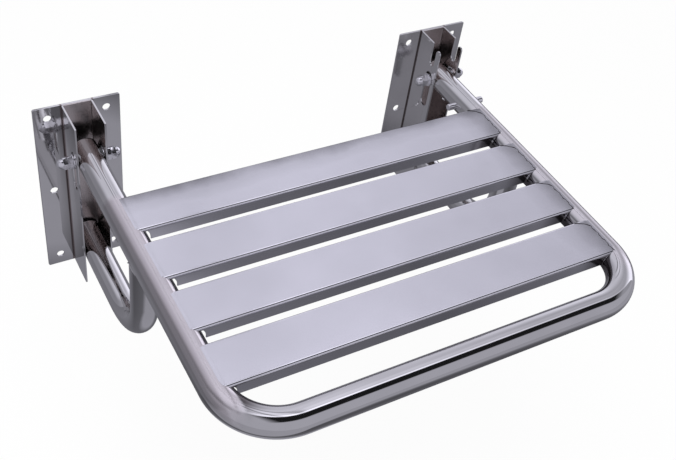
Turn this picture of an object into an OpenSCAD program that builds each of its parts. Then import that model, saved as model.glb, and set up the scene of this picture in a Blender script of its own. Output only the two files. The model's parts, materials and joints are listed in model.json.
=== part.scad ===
// Fold down wall seat: a bent tube frame with four folded sheet slats, which swings up
// on two slotted wall brackets, drops, and is held up by a pin in a notch.
// Sizes are in millimetres. X runs to the right seen from the room, Y into the wall, Z up.
// The origin is in the plane of the wall, midway between the brackets, at the height of
// the middle of the wall plates. The model is drawn with the seat down and raised in its slots.

/* [Frame] */
// Outside diameter of the frame and brace tubes
tube_d = 30; // [26:0.5:34]
// Wall thickness of the tubes
tube_wall = 1.5; // [1:0.1:2.5]
// Distance between the centre lines of the two rails
rail_spacing = 464; // [400:1:560]
// Distance from the wall to the centre line of the front bar
front_reach = 438; // [380:1:520]
// Radius of the front corners at the tube's centre line
corner_r = 60; // [45:1:90]
// Distance from the top edge of the wall plates down to the frame's centre line
frame_step = 52.5; // [50.5:0.5:58.5]
// Length of the rail behind the pivot's axis
rail_tail = 15.5; // [12:0.5:18]

/* [Slats] */
// Open gap between the latch pin and the rear slat
slat_rear_gap = 23.4; // [22.6:0.2:40]
// Open gap between two slats, whose width follows from the depth that is left
slat_gap = 17.5; // [10:0.5:30]
// Open gap between the front slat and the front bar
slat_front_gap = 32.5; // [30:0.5:60]
// Depth of a slat's lips, measured from its top
slat_lip = 16; // [10:0.5:22]
// Gap between the end of a slat's lip and the round side of the rail
slat_lip_gap = 2.5; // [0.5:0.1:4]
// Sheet thickness of a slat
slat_sheet = 1.5; // [1:0.1:2]
// Inside radius of a slat's bends
slat_bend_in = 1.5; // [0.5:0.1:4.5]
// Depth of a slat's top below the top of the tubes
slat_drop = 0.5; // [0.2:0.1:1.5]

/* [Wall plates] */
// Width of a wall plate
plate_w = 97; // [90:1:110]
// Height of a wall plate
plate_h = 237; // [210:1:280]
// Thickness of a wall plate
plate_t = 2.5; // [1.5:0.1:4]
// Radius of a wall plate's corners
plate_corner_r = 2; // [1:0.5:6]
// Diameter of a screw hole
screw_hole_d = 9; // [5:0.5:11]
// Distance from a wall plate's side edge to the middle of the holes beside it
screw_side = 15.5; // [10:0.5:18]
// Distance from a wall plate's top or bottom edge to the middle of the holes next to it
screw_end = 15; // [10:0.5:40]

/* [Channels] */
// Sheet thickness of a channel
channel_sheet = 2; // [1.5:0.1:3]
// Distance from the wall plate to the front edges of a channel's flanges
channel_depth = 46; // [44:0.5:60]
// Inside radius of a channel's bends
channel_bend_in = 0.8; // [0.4:0.1:2]
// Height by which a wall plate stands above its channel
channel_top_step = 0; // [0:0.5:5]
// Height of a channel's lower end above the wall plate's bottom edge
channel_low_step = 3; // [0:0.5:20]
// Gap between a rail and each flange
rail_side_gap = 0.3; // [0.3:0.05:1]

/* [Pivots] */
// Distance from the wall to the pivot's axis
pivot_reach = 36; // [34:0.5:38]
// Travel of the pivot down its slot, from the raised seat
drop_travel = 34; // [28:0.5:38]
// Travel of the pivot up its slot, from the raised seat
lift_travel = 5; // [2:0.5:8]
// Outside diameter of a spacer sleeve
sleeve_d = 12.5; // [11:0.1:13.5]
// Gap between a spacer sleeve and the edges of its slot
sleeve_play = 0.25; // [0.15:0.05:0.5]
// Outside diameter of the bush in a rail
bush_d = 16; // [15:0.5:20]
// Running gap between a spacer sleeve and its bush
bush_fit = 0.05; // [0.02:0.01:0.1]
// Diameter of a pivot stud
stud_d = 8; // [6:0.5:8.5]
// Gap between a pivot stud and the bores of its sleeve and washers
stud_play = 0.2; // [0.1:0.05:0.4]
// Outside diameter of a washer
washer_d = 17; // [16:0.5:20]
// Thickness of a washer
washer_t = 1.6; // [1:0.1:2]
// Gap between a washer and the flange behind it
washer_play = 0.2; // [0.1:0.05:0.4]
// Width of a nut across its flats
nut_across = 13; // [12:0.5:14]
// Thickness of a hexagon nut
nut_t = 5; // [4:0.1:6]
// Height of a domed nut
dome_nut_h = 12; // [11:0.5:14]
// Height of the hexagon of a domed nut
dome_hex_h = 5.5; // [4:0.1:6]

/* [Latch] */
// Distance from the pivot's axis to the latch pin's axis
pin_arm = 60; // [56:0.5:62]
// Diameter of the latch pin
pin_d = 8.4; // [6:0.1:9]
// Length of the latch pin
pin_length = 52; // [44:1:60]
// Radius of the latch pin's end edges
pin_edge_r = 1.6; // [0.5:0.1:2.4]
// Gap between the latch pin and each side of its notch
pin_play = 0.55; // [0.3:0.05:0.8]
// Depth of the finger's tip below the top of the channel
finger_step = 5; // [1:0.5:8]

/* [Braces] */
// Height of the brace's run above the bottom edge of the wall plates
brace_low_step = 48; // [40:0.5:60]
// Distance from the second slat's rear edge forward to the middle of the brace's leg
brace_inset = 8; // [-20:1:30]
// Radius of the brace's bend at the tube's centre line
brace_bend_r = 72; // [50:1:100]
// Thickness of the head of a brace's buffer
buffer_t = 3; // [2:0.5:6]
// Gap between a buffer and the channel's web
buffer_gap = 0.3; // [0.2:0.05:0.5]
// Length of a buffer's stem inside its brace
buffer_stem = 14; // [8:1:25]
// Thickness of the head of a rail's end plug
plug_t = 2; // [1:0.5:3]
// Length of an end plug's stem inside its rail
plug_stem = 5; // [3:0.5:6]

/* [Hidden] */
$fn = 96;

// The two sides of the seat, seen from the room
left = -1;
right = 1;
// How far a cut runs past the surface that it goes through
overrun = 2;
// Gap at welded, pressed and screwed joints
joint_gap = 0.05;
// Size of a weld bead, measured out from both surfaces
weld_size = 2.2;
// Radius of the bead between a slat and a rail
slat_weld_r = 0.9;
// Gap between a brace's bead and the slat's lip above it
bead_gap = 0.55;
// Chamfer on the corners of the nuts, along the stud
nut_chamfer = 0.5;
// Chamfer on the heads of plugs and buffers
plug_chamfer = 0.6;
// Number of slats
slat_count = 4;
// Diameter of a domed nut's dome, as a share of the width across its flats
dome_share = 0.94;
// Depth of a domed nut's bore, as a share of its height
dome_bore_share = 0.68;
// Length of stud inside a domed nut, as a share of the nut's height
dome_thread_share = 0.62;

tube_r = tube_d / 2;
bore_r = tube_r - tube_wall;
rail_x = rail_spacing / 2;
frame_height = plate_h / 2 - frame_step;
pivot_z = frame_height;
tail_y = rail_tail - pivot_reach;
corner_y = corner_r - front_reach;
corner_x = rail_x - corner_r;

slat_bend_r = slat_bend_in + slat_sheet;
slat_top_z = frame_height + tube_r - slat_drop;
slat_lip_z = slat_top_z - slat_lip;
slats_rear_y = -pivot_reach - pin_arm - pin_d / 2 - slat_rear_gap;
slats_front_y = slat_front_gap + tube_r - front_reach;
slat_pitch = (slats_rear_y - slats_front_y + slat_gap) / slat_count;
slat_w = slat_pitch - slat_gap;
slat_edge_x = rail_x - sqrt(pow(tube_r, 2) - pow(tube_r - slat_drop, 2));

channel_bend_r = channel_bend_in + channel_sheet;
screw_columns = plate_w - 2 * screw_side;
screw_rows = plate_h - 2 * screw_end;
channel_h = plate_h - channel_top_step - channel_low_step;
channel_top_z = plate_h / 2 - channel_top_step;
channel_inner_w = tube_d + 2 * rail_side_gap;
channel_outer_w = channel_inner_w + 2 * channel_sheet;
flange_front_y = -plate_t - channel_depth;
web_front_y = -plate_t - channel_sheet;

slot_r = sleeve_d / 2 + sleeve_play;
notch_r = pin_d / 2 + pin_play;
notch_z = pivot_z - drop_travel + pin_arm;
finger_w = -flange_front_y - pivot_reach - notch_r;
finger_tip_z = channel_top_z - finger_step;

sleeve_length = channel_outer_w + 2 * washer_play;
washer_x = sleeve_length / 2;
nut_x = washer_x + washer_t;
dome_x = nut_x + nut_t;
dome_r = nut_across * dome_share / 2;
stud_length = 2 * (dome_x + dome_nut_h * dome_thread_share);
stud_clear_r = stud_d / 2 + stud_play;

brace_reach = brace_inset + slat_pitch - slats_rear_y;
brace_run_z = brace_low_step - plate_h / 2;
brace_end_y = web_front_y - buffer_gap - buffer_t;
bend_y = brace_bend_r - brace_reach;
bend_z = brace_run_z + brace_bend_r;

// Stands a solid that is drawn along Z on its side, along X, at a height and a depth
module along_x(y, z) {
    translate([0, y, z]) rotate([0, 90, 0]) children();
}

// Lays a solid that is drawn along Z down along Y, from y_from towards the wall
module along_y(x, y_from, z) {
    translate([x, y_from, z]) rotate([-90, 0, 0]) children();
}

// A folded section: a back of the given width with two sides of the given depth, filled
module fold_outline(width, depth, bend_r) {
    translate([-width / 2, -depth]) square([width, depth - bend_r]);
    translate([bend_r - width / 2, -depth]) square([width - 2 * bend_r, depth]);
    for (side = [left, right])
        translate([side * (width / 2 - bend_r), -bend_r]) circle(r = bend_r);
}

// The same section as sheet of the given thickness, open at the front
module fold_section(width, depth, bend_r, sheet) {
    difference() {
        fold_outline(width, depth, bend_r);
        translate([0, -sheet]) fold_outline(width - 2 * sheet, depth, bend_r - sheet);
    }
}

// A slot along Z between two centres, cut along X through both flanges
module upright_slot(radius, z_low, z_high, width) {
    for (z = [z_low, z_high])
        along_x(-pivot_reach, z) cylinder(r = radius, h = width, center = true);
    translate([-width / 2, -pivot_reach - radius, z_low])
        cube([width, 2 * radius, z_high - z_low]);
}

module wall_plate(side) {
    color("#8a9097") difference() {
        translate([side * rail_x, 0, 0]) rotate([90, 0, 0]) linear_extrude(plate_t) {
            square([plate_w - 2 * plate_corner_r, plate_h], center = true);
            square([plate_w, plate_h - 2 * plate_corner_r], center = true);
            for (x = [left, right], z = [-1, 1])
                translate([x * (plate_w / 2 - plate_corner_r), z * (plate_h / 2 - plate_corner_r)])
                    circle(r = plate_corner_r);
        }
        for (column = [left, right], row = [-1, 0, 1])
            along_y(side * rail_x + column * screw_columns / 2, -plate_t - overrun, row * screw_rows / 2)
                cylinder(d = screw_hole_d, h = plate_t + 2 * overrun);
    }
}

// The notch that takes the latch pin, and the round tip of the finger in front of it
module latch_cut(width) {
    upright_slot(notch_r, notch_z, channel_top_z + overrun + notch_r, width);
    translate([-width / 2, flange_front_y, 0]) rotate([90, 0, 90]) linear_extrude(width)
        difference() {
            translate([-overrun, finger_tip_z - finger_w / 2])
                square([finger_w + 2 * overrun, finger_step + finger_w / 2 + overrun]);
            translate([finger_w / 2, finger_tip_z - finger_w / 2]) circle(r = finger_w / 2);
        }
}

module channel(side, latched) {
    cut_w = channel_outer_w + 2 * overrun;
    color("#9aa0a6") translate([side * rail_x, 0, 0]) difference() {
        translate([0, -plate_t, channel_top_z - channel_h])
            linear_extrude(channel_h)
                fold_section(channel_outer_w, channel_depth, channel_bend_r, channel_sheet);
        upright_slot(slot_r, pivot_z - drop_travel, pivot_z + lift_travel, cut_w);
        if (latched) latch_cut(cut_w);
    }
}

// A quarter turn of round bar about Z, from +X to +Y
module quarter_bend(centre_r, radius) {
    rotate_extrude(angle = 90) translate([centre_r, 0]) circle(r = radius);
}

// The frame's path, filled: front bar, two corners and two rails that run on past their ends
module frame_run(radius, past_end) {
    along_x(-front_reach, frame_height) cylinder(r = radius, h = 2 * corner_x, center = true);
    for (side = [left, right]) {
        translate([side * corner_x, corner_y, frame_height])
            rotate([0, 0, side == right ? -90 : 180]) quarter_bend(corner_r, radius);
        along_y(side * rail_x, corner_y, frame_height)
            cylinder(r = radius, h = tail_y + past_end - corner_y);
    }
}

module seat_frame() {
    color("#b3b1b8") difference() {
        frame_run(tube_r, 0);
        frame_run(bore_r, overrun);
        for (side = [left, right])
            translate([side * rail_x, 0, 0]) along_x(-pivot_reach, pivot_z)
                cylinder(r = bush_d / 2 + joint_gap, h = tube_d + 2 * overrun, center = true);
        translate([right * rail_x, 0, 0]) along_x(-pivot_reach - pin_arm, pivot_z)
            cylinder(r = pin_d / 2 + joint_gap, h = tube_d + 2 * overrun, center = true);
    }
}

// The space that the rails take, which braces and their beads are cut back to
module rail_space(gap) {
    for (side = [left, right])
        along_y(side * rail_x, -front_reach, frame_height)
            cylinder(r = tube_r + gap, h = front_reach);
}

function slat_y(number) = slats_rear_y - slat_w / 2 - (number - 1) * slat_pitch;

// Slats are numbered from the wall to the front, and their lips are cut back from the rails
module slat(number) {
    color("#b4b6c8") difference() {
        translate([-rail_x, slat_y(number), slat_top_z]) rotate([90, 0, 90])
            linear_extrude(rail_spacing)
                fold_section(slat_w, slat_lip, slat_bend_r, slat_sheet);
        frame_run(tube_r + joint_gap, 0);
        intersection() {
            rail_space(slat_lip_gap);
            translate([-rail_x, -front_reach, slat_lip_z - overrun])
                cube([rail_spacing, front_reach, slat_lip - slat_bend_r + overrun]);
        }
    }
}

// Beads along the ends of the slats' tops, ground low
module slat_welds(side) {
    color("#a9abb8") difference() {
        for (number = [1 : slat_count])
            along_y(side * slat_edge_x, slat_y(number) - slat_w / 2 + slat_bend_r, slat_top_z)
                cylinder(r = slat_weld_r, h = slat_w - 2 * slat_bend_r);
        frame_run(tube_r + joint_gap, 0);
        translate([-rail_x, -front_reach, slat_top_z - slat_lip])
            cube([rail_spacing, front_reach, slat_lip + joint_gap]);
    }
}

// A brace's path, filled: leg, bend and run to the wall, with the run drawn on past its end
module brace_run(radius, past_end) {
    translate([0, -brace_reach, bend_z]) cylinder(r = radius, h = frame_height - bend_z);
    translate([0, bend_y, bend_z]) rotate([0, 90, 0]) rotate([0, 0, -90])
        quarter_bend(brace_bend_r, radius);
    along_y(0, bend_y, brace_run_z) cylinder(r = radius, h = brace_end_y + past_end - bend_y);
}

module brace(side) {
    color("#a7a3a8") difference() {
        translate([side * rail_x, 0, 0]) brace_run(tube_r, 0);
        translate([side * rail_x, 0, 0]) brace_run(bore_r, overrun);
        rail_space(joint_gap);
    }
}

// The bead round the top of a brace's leg, which stops just below the slats' lips
module brace_weld(side) {
    bead_top_z = slat_lip_z - bead_gap;
    color("#a9a2a0") difference() {
        intersection() {
            translate([side * rail_x, -brace_reach, bend_z])
                cylinder(r = tube_r + weld_size, h = bead_top_z - bend_z);
            rail_space(weld_size);
        }
        rail_space(joint_gap);
        translate([side * rail_x, -brace_reach, bend_z])
            cylinder(r = tube_r + joint_gap, h = frame_height - bend_z);
    }
}

// A plug along Z: its stem below zero, its head above
module tube_plug(head_t, stem) {
    stem_r = bore_r - joint_gap;
    rotate_extrude() polygon([
        [0, -stem], [stem_r - plug_chamfer, -stem], [stem_r, plug_chamfer - stem], [stem_r, 0],
        [tube_r, 0], [tube_r, head_t - plug_chamfer], [tube_r - plug_chamfer, head_t], [0, head_t]
    ]);
}

module rail_plug(side) {
    color("#202022") along_y(side * rail_x, tail_y, frame_height) tube_plug(plug_t, plug_stem);
}

module buffer(side) {
    color("#202022") along_y(side * rail_x, brace_end_y, brace_run_z) tube_plug(buffer_t, buffer_stem);
}

// A round rod along Z, centred, with rounded end edges
module round_rod(diameter, length, edge_r) {
    rotate_extrude() {
        translate([0, -length / 2]) square([diameter / 2 - edge_r, length]);
        translate([0, edge_r - length / 2]) square([diameter / 2, length - 2 * edge_r]);
        for (end = [-1, 1])
            translate([diameter / 2 - edge_r, end * (length / 2 - edge_r)]) circle(r = edge_r);
    }
}

module latch_pin() {
    color("#9c9ca4") translate([right * rail_x, 0, 0]) along_x(-pivot_reach - pin_arm, pivot_z)
        round_rod(pin_d, pin_length, pin_edge_r);
}

// Puts a solid that is drawn along Z on a side's pivot, along X
module on_pivot(side) {
    translate([side * rail_x, 0, 0]) along_x(-pivot_reach, pivot_z) children();
}

// Puts a solid at a distance from the middle, facing outwards, at both ends of a pivot
module both_ends(distance) {
    for (turn = [0, 180]) rotate([0, turn, 0]) translate([0, 0, distance]) children();
}

module rail_bush(side) {
    color("#3a3a3e") on_pivot(side) difference() {
        cylinder(d = bush_d, h = tube_d, center = true);
        cylinder(r = sleeve_d / 2 + bush_fit, h = tube_d + 2 * overrun, center = true);
    }
}

module pivot_sleeve(side) {
    color("#9c9ca4") on_pivot(side) difference() {
        cylinder(d = sleeve_d, h = sleeve_length, center = true);
        cylinder(r = stud_clear_r, h = sleeve_length + 2 * overrun, center = true);
    }
}

module pivot_stud(side) {
    color("#b8b8c0") on_pivot(side) round_rod(stud_d, stud_length, nut_chamfer);
}

module washers(side) {
    color("#8c8c94") on_pivot(side) both_ends(washer_x) difference() {
        cylinder(d = washer_d, h = washer_t);
        translate([0, 0, -overrun]) cylinder(r = stud_clear_r, h = washer_t + 2 * overrun);
    }
}

// A hexagon along Z whose corners are chamfered at both faces
module nut_body(height) {
    nut_r = nut_across / 2;
    corner_radius = nut_r / cos(30);
    intersection() {
        cylinder(r = corner_radius, h = height, $fn = 6);
        rotate_extrude() polygon([
            [0, 0], [nut_r, 0], [corner_radius, nut_chamfer],
            [corner_radius, height - nut_chamfer], [nut_r, height], [0, height]
        ]);
    }
}

module hex_nuts(side) {
    color("#c4c4cc") on_pivot(side) both_ends(nut_x) difference() {
        nut_body(nut_t);
        translate([0, 0, -overrun]) cylinder(r = stud_d / 2 + joint_gap, h = nut_t + 2 * overrun);
    }
}

module dome_nuts(side) {
    color("#c4c4cc") on_pivot(side) both_ends(dome_x) difference() {
        union() {
            nut_body(dome_hex_h);
            cylinder(r = dome_r, h = dome_nut_h - dome_r);
            translate([0, 0, dome_nut_h - dome_r]) sphere(r = dome_r);
        }
        translate([0, 0, -overrun])
            cylinder(r = stud_d / 2 + joint_gap, h = dome_nut_h * dome_bore_share + overrun);
    }
}

wall_plate(left);  // left_wall_plate
wall_plate(right);  // right_wall_plate
channel(left, false);  // left_channel
channel(right, true);  // right_channel
seat_frame();
slat(1);  // slat_1
slat(2);  // slat_2
slat(3);  // slat_3
slat(4);  // slat_4
brace(left);  // left_brace
brace(right);  // right_brace
slat_welds(left);  // left_slat_welds
slat_welds(right);  // right_slat_welds
brace_weld(left);  // left_brace_weld
brace_weld(right);  // right_brace_weld
rail_bush(left);  // left_rail_bush
rail_bush(right);  // right_rail_bush
rail_plug(left);  // left_rail_plug
rail_plug(right);  // right_rail_plug
buffer(left);  // left_buffer
buffer(right);  // right_buffer
latch_pin();
pivot_sleeve(left);  // left_pivot_sleeve
pivot_sleeve(right);  // right_pivot_sleeve
pivot_stud(left);  // left_pivot_stud
pivot_stud(right);  // right_pivot_stud
washers(left);  // left_washers
washers(right);  // right_washers
hex_nuts(left);  // left_hex_nuts
hex_nuts(right);  // right_hex_nuts
dome_nuts(left);  // left_dome_nuts
dome_nuts(right);  // right_dome_nuts
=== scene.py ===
# %% [markdown]
# # A fold down wall seat in polished steel
#
# The seat is a bent tube frame with four folded slats. It swings up on two slotted wall brackets
# and is held there by a pin in a notch. Its exact solids are already made, so this lesson dresses
# them: tubes that bend smoothly, slats ground flush at their welds, rippled weld beads, softened
# sheet edges, and the difference between a mirror polish and a satin one. Everything is in metres,
# and every piece is built where the solids say, so nothing has to be fitted afterwards.

# %% Load the solid model
import json
import math

import bmesh
import bpy
from mathutils import Matrix, Vector


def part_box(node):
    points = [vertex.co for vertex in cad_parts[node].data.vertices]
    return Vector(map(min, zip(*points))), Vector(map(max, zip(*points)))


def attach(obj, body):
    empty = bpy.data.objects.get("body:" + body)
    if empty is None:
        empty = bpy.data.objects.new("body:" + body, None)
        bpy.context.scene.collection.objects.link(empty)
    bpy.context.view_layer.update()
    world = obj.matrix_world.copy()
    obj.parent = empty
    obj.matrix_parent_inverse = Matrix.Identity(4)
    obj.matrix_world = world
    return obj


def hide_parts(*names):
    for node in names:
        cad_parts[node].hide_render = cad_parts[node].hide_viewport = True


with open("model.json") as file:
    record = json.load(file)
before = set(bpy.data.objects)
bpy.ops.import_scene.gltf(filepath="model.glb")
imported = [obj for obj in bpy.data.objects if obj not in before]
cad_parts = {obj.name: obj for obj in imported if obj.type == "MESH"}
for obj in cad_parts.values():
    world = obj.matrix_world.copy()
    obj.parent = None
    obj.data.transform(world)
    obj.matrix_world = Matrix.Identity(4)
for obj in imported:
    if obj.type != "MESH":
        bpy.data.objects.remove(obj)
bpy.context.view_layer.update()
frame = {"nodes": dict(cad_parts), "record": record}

MM = 0.001

# %% [markdown]
# ## Measures taken from the solids
#
# A dressed piece that is only nearly in place shows a step at every joint. The rails, the bar and
# the slats are therefore read from the solids' own boxes. Only sizes that a box can't tell, such
# as the radius of a bend, are written down here.

# %% Read the frame's measures
frame_low, frame_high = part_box("seat_frame")
TUBE_R = (frame_high.z - frame_low.z) / 2
TUBE_WALL = 1.5 * MM
RAIL_X = frame_high.x - TUBE_R
RAIL_Z = (frame_low.z + frame_high.z) / 2
BAR_Y = frame_low.y + TUBE_R
TAIL_Y = frame_high.y
CORNER_R = 60 * MM
print("rails at x =", round(RAIL_X / MM, 2), "mm, bar at y =", round(BAR_Y / MM, 2), "mm")

# %% [markdown]
# ## Colours and a node helper
#
# Colours are picked as sRGB hex values, the way a paint chart gives them, but Blender's shaders
# work in linear light, so one function converts them. A second function adds one shader node with
# its settings and its links, which keeps every material short enough to read like a recipe.


# %% Convert colours and add nodes
def linear(hex_colour):
    """An sRGB colour such as "#C0C0D0" as linear red, green, blue and alpha."""
    channels = [int(hex_colour[i:i + 2], 16) / 255 for i in (1, 3, 5)]
    bent = [c / 12.92 if c <= 0.04045 else ((c + 0.055) / 1.055) ** 2.4 for c in channels]
    return (*bent, 1.0)


def add_node(tree, kind, inputs=None, **settings):
    """One shader node. An input's value is a number, a colour or another node's output socket."""
    made = tree.nodes.new("ShaderNode" + kind)
    for name, value in settings.items():
        setattr(made, name, value)
    for name, value in (inputs or {}).items():
        if isinstance(value, bpy.types.NodeSocket):
            tree.links.new(value, made.inputs[name])
        else:
            made.inputs[name].default_value = value
    return made


def ramp(tree, value, stops):
    """A value read off a curve of (value, result) pairs."""
    low, high = stops[0][0], stops[-1][0]
    share = add_node(tree, "MapRange", {"Value": value, "From Min": low, "From Max": high})
    curve = add_node(tree, "ValToRGB", {"Fac": share.outputs[0]})
    points = curve.color_ramp.elements
    for count, (at, result) in enumerate(stops):
        place = (at - low) / (high - low)
        point = points[count] if count < 2 else points.new(place)
        point.position = place
        point.color = (result, result, result, 1)
    return curve.outputs["Color"]


# %% [markdown]
# ## Starting a material
#
# Every finish below starts alike: an empty material, one Principled shader and an output. That is
# written once, so that each finish only says what makes it different.


# %% Start a material
def start_material(name):
    """A material with an empty Principled shader, and that shader."""
    material = bpy.data.materials.new(name)
    material.use_nodes = True
    tree = material.node_tree
    tree.nodes.clear()
    shader = add_node(tree, "BsdfPrincipled")
    output = add_node(tree, "OutputMaterial")
    tree.links.new(shader.outputs["BSDF"], output.inputs["Surface"])
    return material, tree, shader


# %% [markdown]
# ## Stainless steel, from mirror to satin
#
# Every metal part is the same stainless steel. What differs is the last grit that touched it. A
# mirror polish keeps the sheet's slight waves but no scratches, so reflections are sharp and bend
# a little. A satin belt leaves fine lines along its travel, so reflections spread and the steel
# looks paler. Both finishes can meet on one part, so each mesh may carry a layer named satin, and
# the shader goes from the polish to the satin with it. A second layer mixes in a dark brown: in
# part the heat tint that welding left where it was not polished away, and in part painted shade
# and painted dark reflections. The length of a wave and the size of a wiping smear are real sizes.
# A belt's lines are about 0.1 mm wide, too fine to show, so they are drawn 0.5 mm wide. Near the
# welds on the right, and along the rear edge of slat 1, the sheet had a second buffing, so the
# slats' steel is glossier there. It is also painted darker there, as a painted dark reflection,
# with a thin painted dark line on slat 1's rear edge. The right wall plate was polished less far
# than the left one, so its reflections are hazy.

# %% Steel in different polishes
STEEL = "#D8D7D7"
SATIN_STEEL = "#ECEBF1"
# A dark brown that stands partly for weld heat tint and partly for painted shade and painted dark
# reflection.
TINT_AND_SHADE_STEEL = "#3F3638"
SMEAR = 45 * MM
BELT_LINE = 0.5 * MM
ALONG_X = (0.01, 1, 1)


def steel(name, polish, satin=0.3, wave_length=60 * MM, wave_depth=0.1 * MM, tone=0.06,
          colour=STEEL, ground_colour=SATIN_STEEL, seam_x=None, buffed_and_shaded=None):
    """Stainless steel. polish and satin are roughnesses, and tone is how much a smear darkens.

    seam_x gives the distances of two welded seams from the middle. Each zone in the last argument
    is glossier and painted darker, as a painted dark reflection. It has an axis, where it starts
    and where it ends, how far it wavers, and how dark it gets.
    """
    material, tree, shader = start_material(name)
    where = add_node(tree, "TexCoord").outputs["Object"]
    waves = add_node(tree, "TexNoise", {"Vector": where, "Scale": 1 / wave_length, "Detail": 1.0})
    smears = add_node(tree, "TexNoise", {
        "Vector": where, "Scale": 1 / SMEAR, "Detail": 2.0}).outputs["Fac"]
    along_belt = add_node(tree, "VectorMath", {0: where, 1: ALONG_X}, operation="MULTIPLY")
    lines = add_node(tree, "TexNoise", {
        "Vector": along_belt.outputs[0], "Scale": 1 / BELT_LINE, "Detail": 2.0}).outputs["Fac"]
    ground = add_node(tree, "Attribute", attribute_name="satin").outputs["Fac"]
    shade = ramp(tree, smears, [(0.3, 1 - tone), (0.7, 1.0)])
    # Each zone makes the steel glossier and paints it darker, as a painted dark reflection.
    for axis, start, end, waver, darkest in buffed_and_shaded or ():
        place = add_node(tree, "SeparateXYZ", {"Vector": where}).outputs[axis]
        warp = add_node(tree, "Math", {
            0: smears, 1: waver, 2: place}, operation="MULTIPLY_ADD").outputs[0]
        middle = (start + end) / 2
        dull = ramp(tree, warp, [(start, 1.0), (middle, 0.9), (end, 0.5)])
        dark = ramp(tree, warp, [(start, 1.0), (middle, 0.25 * darkest + 0.75), (end, darkest)])
        ground = add_node(tree, "Math", {0: ground, 1: dull}, operation="MULTIPLY").outputs[0]
        shade = add_node(tree, "Math", {0: shade, 1: dark}, operation="MULTIPLY").outputs[0]
    belt = ramp(tree, lines, [(0.3, satin * 0.97), (0.7, satin * 1.03)])
    wiped = ramp(tree, smears, [(0.3, polish * 0.75), (0.7, polish * 1.25)])
    rough = add_node(tree, "Mix", {0: ground, 2: wiped, 3: belt})
    bare = add_node(tree, "Mix", {
        0: ground, 6: linear(colour), 7: linear(ground_colour)}, data_type="RGBA")
    shown = add_node(tree, "Mix", {
        0: 1.0, 6: bare.outputs[2], 7: shade}, data_type="RGBA", blend_type="MULTIPLY").outputs[2]
    # A layer mixes in the dark brown: in part heat tint, in part painted shade and painted
    # reflection.
    tint_and_painted_shade = add_node(tree, "Attribute", attribute_name="tint_and_painted_shade").outputs["Fac"]
    shown = add_node(tree, "Mix", {
        0: tint_and_painted_shade, 6: shown, 7: linear(TINT_AND_SHADE_STEEL)}, data_type="RGBA").outputs[2]
    if seam_x:
        shown = heat_tint(tree, where, shown, seam_x)
    bump = add_node(tree, "Bump", {"Height": waves.outputs["Fac"], "Distance": wave_depth})
    tree.links.new(shown, shader.inputs["Base Color"])
    tree.links.new(rough.outputs[0], shader.inputs["Roughness"])
    tree.links.new(bump.outputs["Normal"], shader.inputs["Normal"])
    shader.inputs["Metallic"].default_value = 1.0
    return material


# %% [markdown]
# Where the channel is welded to its plate, the heat leaves a narrow straw to brown line in the
# polish on both sides. It is a real colour of the oxide skin, so it belongs in the steel's colour
# and follows the two seams' distances from the middle of the seat.

# %% Heat tint along the seams
TINT = "#6E5450"
TINT_FULL = 0.4 * MM
TINT_END = 1.6 * MM
TINT_MOST = 0.75


def heat_tint(tree, where, colour, seam_x):
    """Browns a colour along two upright seams at the distances from the middle in seam_x."""
    across = add_node(tree, "Math", {
        0: add_node(tree, "SeparateXYZ", {"Vector": where}).outputs["X"]}, operation="ABSOLUTE")
    middle = sum(seam_x) / 2
    off_middle = add_node(tree, "Math", {0: across.outputs[0], 1: middle}, operation="SUBTRACT")
    off_side = add_node(tree, "Math", {0: off_middle.outputs[0]}, operation="ABSOLUTE")
    off_seam = add_node(tree, "Math", {
        0: off_side.outputs[0], 1: (seam_x[1] - seam_x[0]) / 2}, operation="SUBTRACT")
    near = add_node(tree, "MapRange", {
        "Value": add_node(tree, "Math", {0: off_seam.outputs[0]}, operation="ABSOLUTE").outputs[0],
        "From Min": TINT_FULL, "From Max": TINT_END, "To Min": TINT_MOST, "To Max": 0.0},
        interpolation_type="SMOOTHSTEP")
    return add_node(tree, "Mix", {
        0: near.outputs[0], 6: colour, 7: linear(TINT)}, data_type="RGBA").outputs[2]


# %% [markdown]
# The sizes of these finishes were chosen against the photograph: how long the waves are on a thin
# slat, how far the glossier zones with their painted dark reflection reach in from the right and
# from the wall, and how hazy each polish is. The seams lie just outside the channels' flanges.

# %% Mix the steels
channel_low, channel_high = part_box("right_channel")
SEAM_OUT = (channel_high.x - channel_low.x) / 2 + 0.3 * MM
seams = [RAIL_X + side * SEAM_OUT for side in (-1, 1)]
# Glossier zones that are also painted darker: a painted dark reflection at the slats' right ends, a
# painted darker band towards slat 1's rear, and a thin painted dark line on its rear edge.
BUFFED_SHADED_RIGHT = ("X", 200 * MM, 242 * MM, 30 * MM, 0.55)
BUFFED_SHADED_REAR = ("Y", -140 * MM, -108 * MM, 30 * MM, 0.45)
BUFFED_SHADED_REAR_EDGE = ("Y", -126 * MM, -124 * MM, 1 * MM, 0.25)
mirror_plate = steel(
    "mirror polished stainless plate", 0.045, wave_depth=0.08 * MM, seam_x=seams)
hazy_plate = steel(
    "hazy polished stainless plate", 0.16, wave_depth=0.05 * MM, seam_x=seams)
mirror_sheet = steel(
    "mirror polished stainless sheet", 0.045, 0.22, wave_depth=0.10 * MM, ground_colour="#D2CAC8")
mirror_tube = steel(
    "mirror polished stainless tube", 0.05, 0.24, 45 * MM, 0.03 * MM, ground_colour="#E6E0E2")
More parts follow.
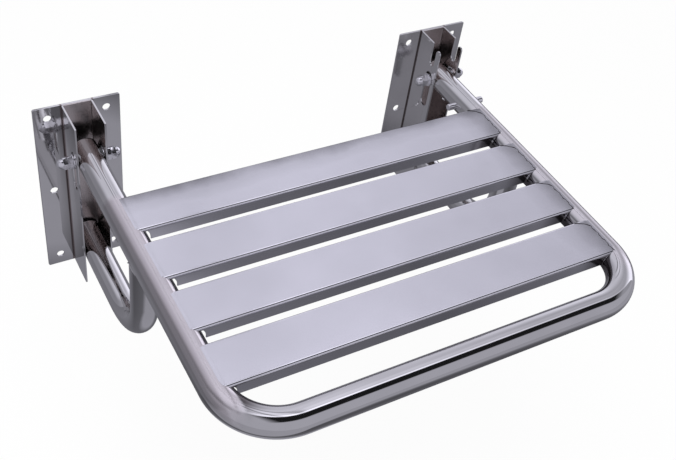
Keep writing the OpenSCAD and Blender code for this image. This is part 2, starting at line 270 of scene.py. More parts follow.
# The colour of its polished parts, paler than the other steels, paints a highlight line on the
# slats' folds.
satin_slat = steel(
    "satin belt ground stainless slat", 0.07, 0.24, 80 * MM, 0.10 * MM, 0.05, "#F3F2F6",
    buffed_and_shaded=[BUFFED_SHADED_RIGHT, BUFFED_SHADED_REAR, BUFFED_SHADED_REAR_EDGE])
ground_weld = steel("ground stainless weld", 0.20, 0.26, 12 * MM, 0.05 * MM, 0.15)
bright_fastener = steel(
    "bright turned stainless fastener", 0.14, 0.2, 6 * MM, 0.01 * MM, 0.03, "#F0EFF2")
weld_seam = steel(
    "dark edge of a stainless weld", 0.35, 0.35, 3 * MM, 0.05 * MM, 0.3, "#4A4245")
print("steels:", len(bpy.data.materials))

# %% [markdown]
# ## Plastic and rubber
#
# The bushes, plugs and buffers are plain mouldings. Moulded plastic has a fine spark grain from
# its tool, which a small noise bump gives, and rubber is the same but duller. The real grain is a
# tenth of a millimetre and wouldn't show, so it is drawn about ten times as coarse.

# %% Moulded plastic and rubber
GRAIN_DEPTH = 0.04 * MM


def moulding(name, colour, rough, grain):
    """A moulded part: grain is the size of the tool's spark texture in metres."""
    material, tree, shader = start_material(name)
    where = add_node(tree, "TexCoord").outputs["Object"]
    texture = add_node(tree, "TexNoise", {"Vector": where, "Scale": 1 / grain, "Detail": 2.0})
    bump = add_node(tree, "Bump", {"Height": texture.outputs["Fac"], "Distance": GRAIN_DEPTH})
    shades = add_node(tree, "MapRange", {
        "Value": texture.outputs["Fac"], "To Min": 0.8, "To Max": 1.0})
    shade = add_node(tree, "Mix", {
        0: 1.0, 6: linear(colour), 7: shades.outputs["Result"]},
        data_type="RGBA", blend_type="MULTIPLY")
    tree.links.new(shade.outputs[2], shader.inputs["Base Color"])
    tree.links.new(bump.outputs["Normal"], shader.inputs["Normal"])
    shader.inputs["Roughness"].default_value = rough
    return material


black_plastic = moulding("black polyethylene plug", "#1B1B1D", 0.45, 0.8 * MM)
black_rubber = moulding("black rubber buffer", "#151516", 0.65, 1.2 * MM)
grey_nylon = moulding("grey nylon bush", "#4A4A4E", 0.5, 0.8 * MM)

# %% [markdown]
# ## From a bmesh to a finished piece
#
# Each piece ends the same way: doubles are merged, faces point outwards, the shape becomes an
# object at the origin, and it is tied to the moving body that it belongs to. Faces are smooth, and
# edges sharper than 20 degrees stay crisp, so a flat plate reflects like a flat mirror.

# %% Finish and tie a piece
SAME_PLACE = 0.002 * MM
SHARP = math.radians(20)


def finish_piece(name, shape, body, material, stands_for=()):
    """Turns a bmesh into an object that rides on a body and stands for some of its solids."""
    bmesh.ops.remove_doubles(shape, verts=shape.verts, dist=SAME_PLACE)
    bmesh.ops.recalc_face_normals(shape, faces=shape.faces)
    mesh = bpy.data.meshes.new(name)
    shape.to_mesh(mesh)
    shape.free()
    mesh.shade_smooth()
    mesh.set_sharp_from_angle(angle=SHARP)
    made = bpy.data.objects.new(name, mesh)
    bpy.context.scene.collection.objects.link(made)
    mesh.materials.append(material)
    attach(made, body)
    if stands_for:
        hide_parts(*stands_for)
    print(f"{name}: {len(mesh.polygons)} faces, {[round(d / MM, 1) for d in made.dimensions]} mm")
    return made


# %% [markdown]
# ## Plates and channels: soften the sheet's edges
#
# A laser cut sheet part has edges that are broken with a file, and that thin line of light is what
# makes it look like real sheet. The cut outlines are already exact in the solids, with slots, notch
# and holes, so it would be wasteful to draw them again: a copy is merged into clean faces and only
# its sharp edges are bevelled. No polishing wheel fits inside a folded channel, so the satin layer
# makes its inner faces duller and a little browner than the outer ones.

# %% Copy a solid and break its edges
FLAT = math.radians(0.5)


def copy_of(node):
    """A merged copy of a solid, with its flat faces joined up again."""
    shape = bmesh.new()
    shape.from_mesh(frame["nodes"][node].data)
    bmesh.ops.remove_doubles(shape, verts=shape.verts, dist=SAME_PLACE)
    bmesh.ops.dissolve_limit(shape, angle_limit=FLAT, verts=shape.verts, edges=shape.edges)
    return shape


def break_edges(shape, width, over=40):
    """Bevels the edges where faces meet at more than the given angle in degrees."""
    limit = math.radians(over)
    sharp = [e for e in shape.edges if e.is_manifold and e.calc_face_angle() > limit]
    bmesh.ops.bevel(
        shape, geom=sharp, offset=width, offset_type="OFFSET", segments=2, profile=0.5,
        affect="EDGES", clamp_overlap=True, material=-1)


INNER_HALF = TUBE_R + 0.4 * MM
for side, plate_finish in (("left", mirror_plate), ("right", hazy_plate)):
    for part, width, finish in (
            ("wall_plate", 0.35 * MM, plate_finish), ("channel", 0.3 * MM, mirror_sheet)):
        sheet_part = copy_of(f"{side}_{part}")
        break_edges(sheet_part, width)
        if part == "channel":
            satin = sheet_part.verts.layers.float.new("satin")
            for vert in sheet_part.verts:
                off_middle = abs(abs(vert.co.x) - RAIL_X)
                vert[satin] = 1.0 if off_middle < INNER_HALF else 0.0
        finish_piece(
            f"{side}_{part}_sheet", sheet_part, "brackets", finish,
            [f"{side}_{part}"])

# %% [markdown]
# Nuts and washers are pressed and tumbled, so no edge of theirs is sharp. The same copy and bevel
# gives each edge the small round that catches a highlight. The latch pin is turned, and its flat
# ends are rounded in the solids already.

# %% Round the fasteners' edges
for side in ("left", "right"):
    for part, width in (("washers", 0.2 * MM), ("hex_nuts", 0.3 * MM), ("dome_nuts", 0.3 * MM)):
        turned = copy_of(f"{side}_{part}")
        break_edges(turned, width, over=25)
        finish_piece(
            f"{side}_{part}_tumbled", turned, "pivots", bright_fastener,
            [f"{side}_{part}"])

# %% [markdown]
# ## Bent tube: a ring that travels
#
# A tube bender feeds a straight tube and turns it round a die. The same two moves build the mesh:
# a ring of vertices is extruded along each straight and spun round each bend, so the wall is
# perfectly round everywhere. The skin is then given its wall thickness. The frame is one such tube
# and so is each brace.

# %% Feed and bend a tube
RING_STEPS = 120
BEND_STEPS = 28


def start_ring(shape, centre, turn):
    """A ring of the tube's radius. turn stands it square to the tube's first direction."""
    place = Matrix.Translation(centre) @ turn
    bmesh.ops.create_circle(shape, segments=RING_STEPS, radius=TUBE_R, matrix=place)
    return list(shape.verts) + list(shape.edges)


def feed(shape, ring, step):
    """Extrudes the ring by a step and returns the new ring."""
    edges = [part for part in ring if isinstance(part, bmesh.types.BMEdge)]
    grown = bmesh.ops.extrude_edge_only(shape, edges=edges)["geom"]
    verts = [part for part in grown if isinstance(part, bmesh.types.BMVert)]
    bmesh.ops.translate(shape, vec=step, verts=verts)
    edges = [part for part in grown
             if isinstance(part, bmesh.types.BMEdge) and all(v in verts for v in part.verts)]
    return verts + edges


def bend(shape, ring, centre, axis, degrees=90):
    """Spins the ring round a bend and returns the ring at its far end."""
    turned = bmesh.ops.spin(
        shape, geom=ring, cent=centre, axis=axis, angle=math.radians(degrees),
        steps=BEND_STEPS, use_merge=False)
    return turned["geom_last"]


def give_wall(shape, wall):
    """Gives an open skin its thickness, inwards."""
    bmesh.ops.recalc_face_normals(shape, faces=shape.faces)
    bmesh.ops.solidify(shape, geom=shape.faces[:], thickness=wall)


# %% [markdown]
# The frame is fed from the right rail's rear end, round both corners and back along the left rail.
# Two extra rings on each rail mark where the belt's work begins, just behind slat 1, because a
# layer on a mesh can only change between its vertices.

# %% Bend the frame
GROUND_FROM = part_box("slat_1")[1].y + 6 * MM
FADE = 8 * MM
tube = bmesh.new()
ring = start_ring(tube, (RAIL_X, TAIL_Y, RAIL_Z), Matrix.Rotation(math.radians(90), 4, "X"))
straights = [GROUND_FROM - TAIL_Y, -FADE, BAR_Y + CORNER_R - GROUND_FROM + FADE]
for length in straights:
    ring = feed(tube, ring, (0, length, 0))
ring = bend(tube, ring, (RAIL_X - CORNER_R, BAR_Y + CORNER_R, RAIL_Z), (0, 0, -1))
ring = feed(tube, ring, (2 * (CORNER_R - RAIL_X), 0, 0))
ring = bend(tube, ring, (CORNER_R - RAIL_X, BAR_Y + CORNER_R, RAIL_Z), (0, 0, -1))
for length in reversed(straights):
    ring = feed(tube, ring, (0, -length, 0))
give_wall(tube, TUBE_WALL)

# %% [markdown]
# Polish and heat marks follow the tube: they change round its section and stop near the ends of the
# slats' part. Three small functions measure that. Angles round a rail's section are in degrees, and
# 0 is its inner side and 90 its top.


# %% Measure fades on the rails
def smooth_step(low, high, value):
    """0 below low, 1 above high and an even change between them."""
    share = min(max((value - low) / (high - low), 0), 1)
    return share * share * (3 - 2 * share)


def band(angle, rise, full, end, fall, most):
    """A band round the tube that rises from 0 to most and falls back to 0, by angle."""
    return most * smooth_step(rise, full, angle) * smooth_step(end, fall, angle)


def on_rail(place, stop, full_share):
    """The rail's side, how far inwards a place is, and its share along the slats' part.

    The share is 1 up to full_share of the corner's radius from the bar's middle, and fades to 0 at
    the distance stop from it.
    """
    side = "left" if place.x < 0 else "right"
    along = smooth_step(GROUND_FROM, GROUND_FROM - FADE, place.y)
    along *= smooth_step(BAR_Y + stop, BAR_Y + CORNER_R * full_share, place.y)
    return side, RAIL_X - abs(place.x), along


# %% [markdown]
# The belt that took the welds down also dulled the top of the rails beside the slats, more on the
# left rail than on the right one. The satin layer tells where: on the upper part of a rail's
# section, from slat 1 forward, and fading out round the corner. A second layer mixes in dark brown
# by angle round the section. On the rail's inner side between the slats, where no wheel can reach,
# it is in part the welds' heat tint and in part painted shade and painted dark reflection. The
# bands on the tops are painted shade that darkens set angles. The rest of the tube stays a mirror.
# A band says where it starts, is full, ends and begins to fall, and how dark it gets.

# %% Dull and brown the rails beside the slats
GROUND_START = (52, 57)
GROUND_END = {"left": (170, 117), "right": (140, 117)}
GROUND_MOST = {"left": 1.0, "right": 0.5}
# Angles round the rail where painted shade and painted dark reflection are mixed with the heat
# tint; the bands on the tops are painted shade.
TINT_SHADE_BELOW = {"left": (55, 50), "right": (15, 10)}
TINT_SHADE_ABOVE = (-70, -50)
TINT_SHADE_MOST = 0.9
TINT_SHADE_BANDS = {
    "left": [(66, 70, 75, 71, 0.35), (95, 112, 175, 150, 0.3)],
    "right": [(88, 96, 122, 113, 0.42)]}


def ground_share(place):
    """How satin the frame's tube is at a place."""
    side, inward, along = on_rail(place, stop=4 * MM, full_share=0.6)
    angle = math.degrees(math.atan2(place.z - RAIL_Z, min(inward, TUBE_R)))
    around = smooth_step(*GROUND_START, angle) * smooth_step(*GROUND_END[side], angle)
    return GROUND_MOST[side] * along * around


def tint_and_shade_share(place):
    """How much dark brown a rail takes: part weld heat tint, part painted shade and reflection."""
    side, inward, along = on_rail(place, stop=8 * MM, full_share=0.5)
    angle = math.degrees(math.atan2(place.z - RAIL_Z, inward))
    inner = smooth_step(*TINT_SHADE_BELOW[side], angle) * smooth_step(*TINT_SHADE_ABOVE, angle)
    return along * sum((band(angle, *limits) for limits in TINT_SHADE_BANDS[side]), TINT_SHADE_MOST * inner)


satin = tube.verts.layers.float.new("satin")
tint_and_painted_shade = tube.verts.layers.float.new("tint_and_painted_shade")
for vert in tube.verts:
    vert[satin] = ground_share(vert.co)
    vert[tint_and_painted_shade] = tint_and_shade_share(vert.co)
finish_piece("bent_frame_tube", tube, "seat", mirror_tube, ["seat_frame"])

# %% [markdown]
# ## Lower braces
#
# Each brace is the same tube: a leg under the rail, a wide bend and a run back to the channel,
# where its buffer rests. The leg's top ends inside the rail, because the weld hides the saddle
# shaped cut that a real one has there.

# %% Bend the braces
BRACE_R = 72 * MM
INTO_RAIL = 2 * MM
for side, x in (("left", -RAIL_X), ("right", RAIL_X)):
    brace_low, brace_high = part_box(f"{side}_brace")
    leg_y = brace_low.y + TUBE_R
    run_z = brace_low.z + TUBE_R
    brace = bmesh.new()
    ring = start_ring(brace, (x, leg_y, RAIL_Z - INTO_RAIL), Matrix.Identity(4))
    ring = feed(brace, ring, (0, 0, run_z + BRACE_R - RAIL_Z + INTO_RAIL))
    ring = bend(brace, ring, (x, leg_y + BRACE_R, run_z + BRACE_R), (1, 0, 0))
    ring = feed(brace, ring, (0, brace_high.y - leg_y - BRACE_R, 0))
    give_wall(brace, TUBE_WALL)
    finish_piece(
        f"{side}_brace_tube", brace, "seat", mirror_tube, [f"{side}_brace"])

# %% [markdown]
# ## Slats
#
# A slat is a strip of sheet folded down along both edges. The fold is drawn as three straight
# lines, its two corners are rounded to the folding tool's radius, and the sheet gets its thickness
# last, so it stays even round the bends. The top reaches into the rail's wall, where it is welded.
# The lips are cut back in an arc, so that they stay clear of the rail's round side and leave room
# for the torch. A few cuts across give the layers vertices to fade between.

# %% Fold a slat
SHEET = 1.5 * MM
FOLD_R = 3 * MM
TOP_END = 3.4 * MM
LIP_GAP = 2.5 * MM
LIP_ROWS = 12
TOLERANCE = 0.1 * MM
# Cuts where the lips' dark brown fades in, which is part heat tint and part painted dark
# reflection.
TINT_SHADE_CUTS = [x * MM for x in (175, 185, 195, 205, 214)]


def cut(shape, place, facing, clear_outer=False):
    """Cuts a shape's faces along a plane, and takes away what lies outside it if that is asked."""
    bmesh.ops.bisect_plane(
        shape, geom=shape.verts[:] + shape.edges[:] + shape.faces[:],
        plane_co=place, plane_no=facing, clear_outer=clear_outer)


def clear_rails(shape, lip_low, lip_top):
    """Moves the ends of the lips back to an arc, so that they stay clear of the rails."""
    for row in range(1, LIP_ROWS):
        cut(shape, (0, 0, lip_low + (lip_top - lip_low) * row / LIP_ROWS), (0, 0, 1))
    for vert in shape.verts:
        if vert.co.z < lip_top - TOLERANCE:
            across = math.sqrt((TUBE_R + LIP_GAP) ** 2 - (vert.co.z - RAIL_Z) ** 2)
            vert.co.x = math.copysign(RAIL_X - across, vert.co.x)


def folded_slat(low, high):
    """A folded strip between two corners of its box, open below and cut back at its lips' ends."""
    shape = bmesh.new()
    outline = [(high.y, low.z), (high.y, high.z), (low.y, high.z), (low.y, low.z)]
    verts = [shape.verts.new((-RAIL_X, y, z)) for y, z in outline]
    edges = [shape.edges.new(pair) for pair in zip(verts, verts[1:])]
    grown = bmesh.ops.extrude_edge_only(shape, edges=edges)["geom"]
    far = [part for part in grown if isinstance(part, bmesh.types.BMVert)]
    bmesh.ops.translate(shape, vec=(2 * RAIL_X, 0, 0), verts=far)
    folds = [e for e in shape.edges if len(e.link_faces) == 2]
    bmesh.ops.bevel(
        shape, geom=folds, offset=FOLD_R, offset_type="OFFSET", segments=14, profile=0.5,
        affect="EDGES", material=-1)
    for end in (-1, 1):
        cut(shape, (end * (RAIL_X - TOP_END), 0, 0), (end, 0, 0), clear_outer=True)
    clear_rails(shape, low.z, high.z - FOLD_R)
    for x in TINT_SHADE_CUTS:
        cut(shape, (x, 0, 0), (1, 0, 0))
    give_wall(shape, SHEET)
    return shape


# %% [markdown]
# The belt runs along a slat's top only, so the folds keep a burnished, bright line, and their paler
# colour paints a highlight on it. The lips are half dull, and towards the right they turn dark
# brown: in part heat tint from the hotter welds, in part a painted dark reflection. The sheet's
# edges are filed like those of the brackets.

# %% Make the four slats
FILED = 0.25 * MM
FLAT_TOP = 0.01 * MM
LIP_SATIN = 0.5
LIP_TINT_SHADE = 0.85
for number in (1, 2, 3, 4):
    slat_low, slat_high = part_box(f"slat_{number}")
    slat = folded_slat(slat_low, slat_high)
    break_edges(slat, FILED, over=60)
    satin = slat.verts.layers.float.new("satin")
    tint_and_painted_shade = slat.verts.layers.float.new("tint_and_painted_shade")
    for vert in slat.verts:
        below = slat_high.z - vert.co.z
        # The folds take the paler polished colour, a painted highlight; the lips take half of it.
        vert[satin] = 1.0 if below < FLAT_TOP else 0.0 if below < 0.95 * FOLD_R else LIP_SATIN
        # The lips' right ends turn dark brown: part heat tint, part painted dark reflection.
        vert[tint_and_painted_shade] = LIP_TINT_SHADE * smooth_step(
            TINT_SHADE_CUTS[0], TINT_SHADE_CUTS[-1], vert.co.x) * smooth_step(0.7 * FOLD_R, FOLD_R, below)
    finish_piece(
        f"folded_slat_{number}", slat, "seat", satin_slat, [f"slat_{number}"])

# %% [markdown]
# ## Ground welds along the slats
#
# On the real seat the welds between slats and rails were belt ground until slat and tube flow into
# each other. The cross-section is a hollow arc that touches both: a circle above the slat and
# outside the tube. Its touching points follow from the two radii, and the arc is spun between them
# and then pulled along the slat's width.

# %% Blend the slats into the rails
GROUND_R = 40 * MM
ARC_STEPS = 6
slat_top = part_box("slat_2")[1].z
drop = RAIL_Z + TUBE_R - slat_top
reach = math.sqrt((TUBE_R + GROUND_R) ** 2 - (TUBE_R - drop + GROUND_R) ** 2)
swing = math.asin(reach / (TUBE_R + GROUND_R))
LIFT = 0.02 * MM


def ground_strip(shape, side, y_from, y_to):
    """One hollow blend strip between a slat's top and a rail."""
    centre = Vector((side * (RAIL_X - reach), y_from, slat_top + GROUND_R + LIFT))
    start = shape.verts.new(centre - Vector((0, 0, GROUND_R)))
    bmesh.ops.spin(
        shape, geom=[start], cent=centre, axis=(0, -side, 0), angle=swing, steps=ARC_STEPS)
    edges = [e for e in shape.edges if not e.link_faces]
    grown = bmesh.ops.extrude_edge_only(shape, edges=edges)["geom"]
    far = [part for part in grown if isinstance(part, bmesh.types.BMVert)]
    bmesh.ops.translate(shape, vec=(0, y_to - y_from, 0), verts=far)


for side_name, side in (("left", -1), ("right", 1)):
    strips = bmesh.new()
    for number in (1, 2, 3, 4):
        slat_low, slat_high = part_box(f"slat_{number}")
        ground_strip(strips, side, slat_low.y + FOLD_R, slat_high.y - FOLD_R)
    satin = strips.verts.layers.float.new("satin")
    for vert in strips.verts:
        vert[satin] = 1.0 if side < 0 else 0.4
    finish_piece(
        f"{side_name}_ground_welds", strips, "seat", satin_slat,
        [f"{side_name}_slat_welds"])

# %% [markdown]
# ## Weld beads
#
# A bead is laid as a row of overlapping drops, so its thickness ripples. Each bead follows the line
# where two parts meet. A curve with a changing radius carries the ripples, and is turned into a
# mesh, because that is far shorter than extruding every drop.


# %% Lay rippled beads
def lay_beads(paths, radius):
    """Beads along paths of (place, thickness) pairs, as one bmesh."""
    curve = bpy.data.curves.new("bead", "CURVE")
    curve.dimensions = "3D"
    curve.bevel_depth = radius
    curve.bevel_resolution = 3
    curve.use_fill_caps = True
    for path in paths:
        spline = curve.splines.new("POLY")
        spline.points.add(len(path) - 1)
        for point, (place, thickness) in zip(spline.points, path):
            point.co = (*place, 1)
            point.radius = thickness
    holder = bpy.data.objects.new("bead", curve)
    shape = bmesh.new()
    shape.from_mesh(bpy.data.meshes.new_from_object(holder))
    bpy.data.objects.remove(holder)
    return shape


def ripple(turn, count):
    """The thickness of a bead of so many drops, at a share of its way round."""
    return 1 + 0.14 * math.cos(2 * math.pi * turn * count)


# %% [markdown]
# A brace meets its rail in a saddle, a circle that drops down the rail's round side in front and
# behind. Its bead gets thinner towards the rail's sides, where the two tubes are flush.

# %% Weld the braces to the rails
BEAD_STEPS = 240
BEAD_R = 1.5 * MM
SADDLE_R = TUBE_R + 0.3 * BEAD_R
SADDLE_DROPS = 30
for side_name, side in (("left", -1), ("right", 1)):
    brace_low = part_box(f"{side_name}_brace")[0]
    saddle = []
    for step in range(BEAD_STEPS + 1):
        turn = step / BEAD_STEPS
        angle = 2 * math.pi * turn
        place = (
            side * RAIL_X + SADDLE_R * math.cos(angle),
            brace_low.y + TUBE_R + SADDLE_R * math.sin(angle),
            RAIL_Z - SADDLE_R * abs(math.sin(angle)))
        saddle.append((place, ripple(turn, SADDLE_DROPS) * (0.25 + 0.75 * abs(math.sin(angle)))))
    finish_piece(
        f"{side_name}_brace_bead", lay_beads([saddle], BEAD_R), "seat", ground_weld,
        [f"{side_name}_brace_weld"])

# %% [markdown]
# The pin's two rings follow the line where a thin round bar leaves a thick one, which is a circle
# bent over the rail's side. They are thin, since they have to pass through the notch with the pin.

# %% Lay the pin's rings
PIN_BEAD_R = 0.3 * MM
PIN_BEAD_OUT = TUBE_R + 0.1 * MM
PIN_STEPS = 96
PIN_DROPS = 14
pin_low, pin_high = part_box("latch_pin")
PIN_R = (pin_high.z - pin_low.z) / 2
pin_y = (pin_low.y + pin_high.y) / 2
rings = []
for side in (-1, 1):
    path = []
    for step in range(PIN_STEPS + 1):
        turn = step / PIN_STEPS
        angle = 2 * math.pi * turn
        up = PIN_R * math.sin(angle)
        out = math.sqrt(PIN_BEAD_OUT ** 2 - up ** 2)
        place = (RAIL_X + side * out, pin_y + PIN_R * math.cos(angle), RAIL_Z + up)
        path.append((place, ripple(turn, PIN_DROPS)))
    rings.append(path)
finish_piece(
    "latch_pin_beads", lay_beads(rings, PIN_BEAD_R), "seat", ground_weld)

# %% [markdown]
# On the right the slats' welds were not ground down to nothing. A thin dark line is left where each
# bead ends on the slat. It wavers with the welder's hand, and swings inwards round the slat's rear
# corner. It is modelled as a fine raised edge, because a painted line would look flat close up.

# %% Leave the edges of the right hand welds
EDGE_R = 0.42 * MM
EDGE_STEPS = 80
EDGE_Z = slat_top + 0.12 * MM
EDGE_INSET = 4.8 * MM
SWING_IN = 15 * MM
SWING_LENGTH = 13 * MM
AT_END = 1 * MM
edges = []
for number in (1, 2, 3, 4):
    slat_low, slat_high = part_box(f"slat_{number}")
    length = slat_high.y - slat_low.y - 2 * AT_END
    path = []
    for step in range(EDGE_STEPS + 1):
        behind_edge = length * step / EDGE_STEPS
        bow = 1 - min(behind_edge / SWING_LENGTH, 1)
        waver = 0.5 * math.sin(behind_edge / MM * 0.45 + number) + 0.3 * math.sin(
            behind_edge / MM * 1.1 + 2 * number)
        x = RAIL_X - EDGE_INSET - SWING_IN * bow ** 2 + waver * MM
        path.append((
            (x, slat_high.y - AT_END - behind_edge, EDGE_Z),
            0.8 + 0.2 * math.sin(behind_edge / MM * 0.8)))
    edges.append(path)
finish_piece("right_weld_edges", lay_beads(edges, EDGE_R), "seat", weld_seam)

# %% [markdown]
# ## Studio, floor and camera
#
# Polished steel has no colour of its own: it shows the room. A photographer therefore builds the
# room, with white paper behind, a large lamp overhead, and black cards whose reflections draw the
# dark lines along the tubes. Here the world plays the room for reflections only, and gives plain
# white to the camera.

# %% Light the studio
world = bpy.data.worlds.new("studio")
bpy.context.scene.world = world
world.use_nodes = True
room = world.node_tree
room.nodes.clear()
direction = add_node(room, "SeparateXYZ", {
    "Vector": add_node(room, "TexCoord").outputs["Generated"]})
forward = add_node(room, "Math", {0: direction.outputs["Y"], 1: -1.0}, operation="MULTIPLY")
around = add_node(room, "Math", {
    0: forward.outputs[0], 1: direction.outputs["Z"]}, operation="ARCTAN2")
print("nodes that read the direction:", len(room.nodes))

# %% [markdown]
# The room as the steel sees it, by direction. The angle runs from straight up, behind the seat
# negative and in front positive. Behind is a wall that is dim on the far left and bright low on
# the right, with a lamp high up and narrow dark cards that draw streaks along the rails. In front
# the room is evenly grey. Overhead a black card hangs from side to side: it draws the sharp dark
# line along the front bar.

# %% Paint the room
FRONT_LEVEL = 0.475
CARD_LEVEL = 0.012
degrees = add_node(room, "Math", {0: around.outputs[0]}, operation="DEGREES").outputs[0]
across = direction.outputs["X"]
wall_high = ramp(room, across, [
    (-0.8, 0.60), (-0.7, 0.12), (-0.6, 0.36), (-0.48, 0.62), (-0.3, 0.72), (0.07, 0.70),
    (0.09, 0.24), (0.13, 0.24), (0.16, 0.82), (0.26, 0.82), (0.28, 0.36), (0.31, 0.36),
    (0.34, 0.80), (0.45, 0.64), (0.6, 0.46), (0.8, 0.43)])
wall_low = ramp(room, across, [
    (-0.6, 0.30), (-0.4, 0.38), (0.3, 0.62), (0.5, 0.72), (0.62, 0.95), (0.75, 1.25)])
height = ramp(room, direction.outputs["Z"], [(0.3, 0.0), (0.6, 1.0)])
wall = add_node(room, "Mix", {0: height, 2: wall_low, 3: wall_high}).outputs[0]
lamp_height = ramp(room, degrees, [
    (-34, 0.0), (-27, 0.14), (-15, 0.14), (-8, 0.0), (-6, 0.75), (1, 0.75)])
lamp_width = ramp(room, across, [(-0.3, 0.0), (0.1, 1.0), (0.35, 1.0), (0.7, 0.2)])
lit_wall = add_node(room, "Math", {
    0: lamp_height, 1: lamp_width, 2: wall}, operation="MULTIPLY_ADD").outputs[0]
in_front = ramp(room, degrees, [(1, 0.0), (3, 1.0)])
open_room = add_node(room, "Mix", {0: in_front, 2: lit_wall, 3: FRONT_LEVEL}).outputs[0]
card_depth = ramp(room, degrees, [(1, 0.0), (4, 1.0), (34, 1.0), (39, 0.0)])
card_width = ramp(room, across, [(-0.35, 0.0), (-0.1, 1.0), (0.72, 1.0), (0.85, 0.2)])
hidden = add_node(room, "Math", {0: card_depth, 1: card_width}, operation="MULTIPLY").outputs[0]
level = add_node(room, "Mix", {0: hidden, 2: open_room, 3: CARD_LEVEL}).outputs[0]
print("nodes that paint the room:", len(room.nodes))

# %% [markdown]
# The camera sees plain white wherever the seat isn't, and matt parts are lit by an even, softer
# light. Only glossy rays see the room, with the faintly blue tint of its lamps. The tint's green is
# a little below 1, so the level is divided by it.

# %% Show the room to reflections only
LIGHT_TINT = linear("#F1F0FE")
SOFT_LEVEL = 0.75
rays = add_node(room, "LightPath")
plain = add_node(room, "Math", {
    0: rays.outputs["Is Camera Ray"], 1: rays.outputs["Is Transmission Ray"]}, operation="MAXIMUM")
soft = add_node(room, "Mix", {
    0: rays.outputs["Is Glossy Ray"], 2: SOFT_LEVEL,
    3: add_node(room, "Math", {0: level, 1: LIGHT_TINT[1]}, operation="DIVIDE").outputs[0]})
brightness = add_node(room, "Mix", {0: plain.outputs[0], 2: soft.outputs[0], 3: 1.0})
hue = add_node(room, "Mix", {
    0: rays.outputs["Is Glossy Ray"], 6: (1, 1, 1, 1), 7: LIGHT_TINT}, data_type="RGBA")
background = add_node(room, "Background", {
    "Color": hue.outputs[2], "Strength": brightness.outputs[0]})
room.links.new(background.outputs[0], add_node(room, "OutputWorld").inputs["Surface"])

# %% [markdown]
# A studio's floor and cards are plain squares.


# %% Make a card for the studio
def stage_card(name, size, centre, material):
    """A square card of the studio, which isn't part of the seat."""
    shape = bmesh.new()
    bmesh.ops.create_grid(
        shape, x_segments=1, y_segments=1, size=size / 2, matrix=Matrix.Translation(centre))
    mesh = bpy.data.meshes.new(name)
    shape.to_mesh(mesh)
    shape.free()
    card = bpy.data.objects.new(name, mesh)
    bpy.context.scene.collection.objects.link(card)
    mesh.materials.append(material)
    return card


# %% [markdown]
# The floor is pale paper, 45 cm under the seat's top as it would be in a shower. For the camera
# it glows nearly white and keeps a soft share of real light, so that the seat's shadow stays.

# %% Lay the floor
SEAT_HEIGHT = 450 * MM
FLOOR_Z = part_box("slat_1")[1].z - SEAT_HEIGHT
STAGE_SIZE = 12.0
GLOW_SHARE = 0.92
paper = bpy.data.materials.new("pale paper floor")
paper.use_nodes = True
tree = paper.node_tree
tree.nodes.clear()
diffuse = add_node(tree, "BsdfDiffuse", {"Color": linear("#F2F2F2")})
glow = add_node(tree, "Emission", {"Color": (1, 1, 1, 1), "Strength": 1.0})
paths = add_node(tree, "LightPath")
clear_ray = add_node(tree, "Math", {
    0: paths.outputs["Is Camera Ray"], 1: paths.outputs["Is Transmission Ray"]},
    operation="MAXIMUM")
any_ray = add_node(tree, "Math", {
    0: clear_ray.outputs[0], 1: paths.outputs["Is Glossy Ray"]}, operation="MAXIMUM")
share = add_node(tree, "Math", {0: any_ray.outputs[0], 1: GLOW_SHARE}, operation="MULTIPLY")
sheet = add_node(tree, "MixShader", {
    0: share.outputs[0], 1: diffuse.outputs[0], 2: glow.outputs[0]})
tree.links.new(sheet.outputs[0], add_node(tree, "OutputMaterial").inputs["Surface"])
stage_card("floor", STAGE_SIZE, (0, 0, FLOOR_Z), paper)
print("floor at z =", round(FLOOR_Z / MM, 1), "mm")

# %% [markdown]
# The steel seen from above mirrors what lies below it, and in a studio that is a dark table, paler
# towards the paper behind. A card under the seat plays that table. It shows in reflections only,
# so the floor stays pale from every side.

# %% Slide a dark card under the seat
TABLE_Z = FLOOR_Z + 60 * MM
TABLE_CENTRE = (-0.17, -0.38, TABLE_Z)
table = bpy.data.materials.new("dark table card")
table.use_nodes = True
tree = table.node_tree
tree.nodes.clear()
spot = add_node(tree, "TexCoord").outputs["Object"]
place = add_node(tree, "SeparateXYZ", {"Vector": spot})
out = add_node(tree, "VectorMath", {
    0: spot, 1: TABLE_CENTRE}, operation="DISTANCE").outputs["Value"]
corner = add_node(tree, "Math", {
    0: place.outputs["X"], 1: place.outputs["Y"]}, operation="ADD").outputs[0]
near_table = ramp(tree, out, [
    (0, 0.42), (0.16, 0.42), (0.24, 0.17), (0.5, 0.11), (0.7, 0.15), (0.88, 0.28)])
far_table = ramp(tree, place.outputs["Y"], [(-0.4, 0.46), (0.1, 0.27)])
past_corner = ramp(tree, corner, [(-1.04, 1.0), (-0.96, 0.0)])
past_edge = ramp(tree, out, [(0.95, 0.0), (1.05, 1.0)])
behind = ramp(tree, place.outputs["Y"], [(-0.1, 0.0), (0.15, 1.0)])
past_any = add_node(tree, "Math", {0: past_corner, 1: past_edge}, operation="MAXIMUM").outputs[0]
far_share = add_node(tree, "Math", {0: past_any, 1: behind}, operation="MAXIMUM").outputs[0]
pale = add_node(tree, "Mix", {0: far_share, 2: near_table, 3: far_table})
shine = add_node(tree, "Emission", {"Color": LIGHT_TINT, "Strength": pale.outputs[0]})
tree.links.new(shine.outputs[0], add_node(tree, "OutputMaterial").inputs["Surface"])
table_card = stage_card("table_card", STAGE_SIZE, (0, 0, TABLE_Z), table)
table_card.visible_camera = False
table_card.visible_diffuse = False
table_card.visible_transmission = False
table_card.visible_shadow = False
print("dark card at z =", round(TABLE_Z / MM, 1), "mm")

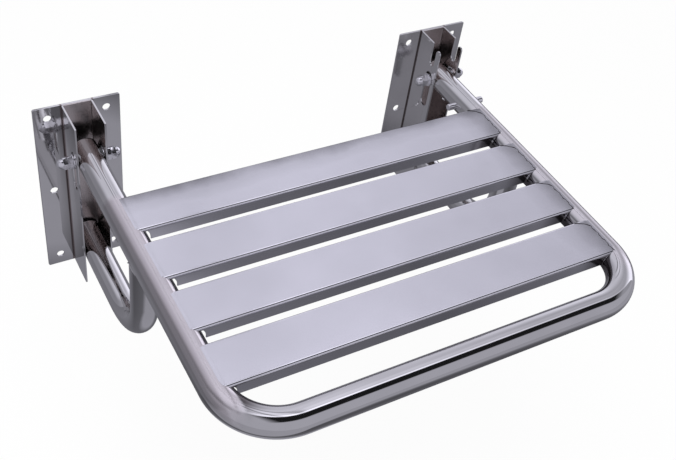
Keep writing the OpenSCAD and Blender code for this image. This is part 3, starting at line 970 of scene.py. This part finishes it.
# %% [markdown]
# A wide, weak lamp above and in front gives the soft shading of the black plastic and the floor's
# faint shadow. Steel doesn't mirror it, because the room already draws every reflection.

# %% Hang the lamp
lamp_data = bpy.data.lights.new("soft lamp", "AREA")
lamp_data.shape = "DISK"
lamp_data.size = 1.6
lamp_data.energy = 30
lamp = bpy.data.objects.new("soft_lamp", lamp_data)
lamp.location = (-0.5, -0.6, 2.2)
SEAT_MIDDLE = Vector((0, -0.2, 0))
lamp.rotation_euler = (Vector(lamp.location) - SEAT_MIDDLE).to_track_quat("Z", "Y").to_euler()
bpy.context.scene.collection.objects.link(lamp)
lamp.visible_glossy = False
print("lamp:", lamp_data.size, "m wide,", lamp_data.energy, "W")

# %% [markdown]
# The camera stands where the photographer stood: to the left of the seat, above it and close, with
# the picture tilted by a few degrees. Its place, its three angles and its lens were fitted to the
# straight edges and outlines in the photograph.

# %% Set the camera
camera_data = bpy.data.cameras.new("camera")
camera_data.sensor_width = 36
camera_data.lens = 53.37
camera = bpy.data.objects.new("camera", camera_data)
CAMERA_PLACE = (-0.47455, -0.87177, 0.7995)
HEADING, TILT, ROLL = (math.radians(angle) for angle in (35.16, 43.44, 9.47))
camera.matrix_world = (
    Matrix.Translation(CAMERA_PLACE)
    @ Matrix.Rotation(-HEADING, 4, "Z")
    @ Matrix.Rotation(math.pi / 2 - TILT, 4, "X")
    @ Matrix.Rotation(ROLL, 4, "Z"))
bpy.context.scene.collection.objects.link(camera)
bpy.context.scene.camera = camera
bpy.context.scene.view_settings.view_transform = "Standard"
print("camera at", CAMERA_PLACE, "m with a lens of", round(camera_data.lens, 2), "mm")

# %% [markdown]
# Bushes, plugs, buffers, sleeves, studs and the latch pin are simple turned or moulded parts whose
# solids are already exact, so they are carried over as they are. Only their finish is missing, and
# each solid's slot says which one it needs.

# %% Carry over the small solids
finishes = {
    "bright_fastener": bright_fastener, "grey_bush": grey_nylon, "black_plug": black_plastic,
    "black_buffer": black_rubber, "polished_tube": mirror_tube, "polished_sheet": mirror_sheet,
    "satin_slat": satin_slat, "ground_weld": ground_weld}
for part in frame["record"]["subparts"]:
    solid = frame["nodes"][part["node"]]
    if not solid.material_slots:
        solid.data.materials.append(None)
    for holder in solid.material_slots:
        holder.material = finishes[part["material_slot"]]
print("solids carried over or replaced:", len(frame["nodes"]))
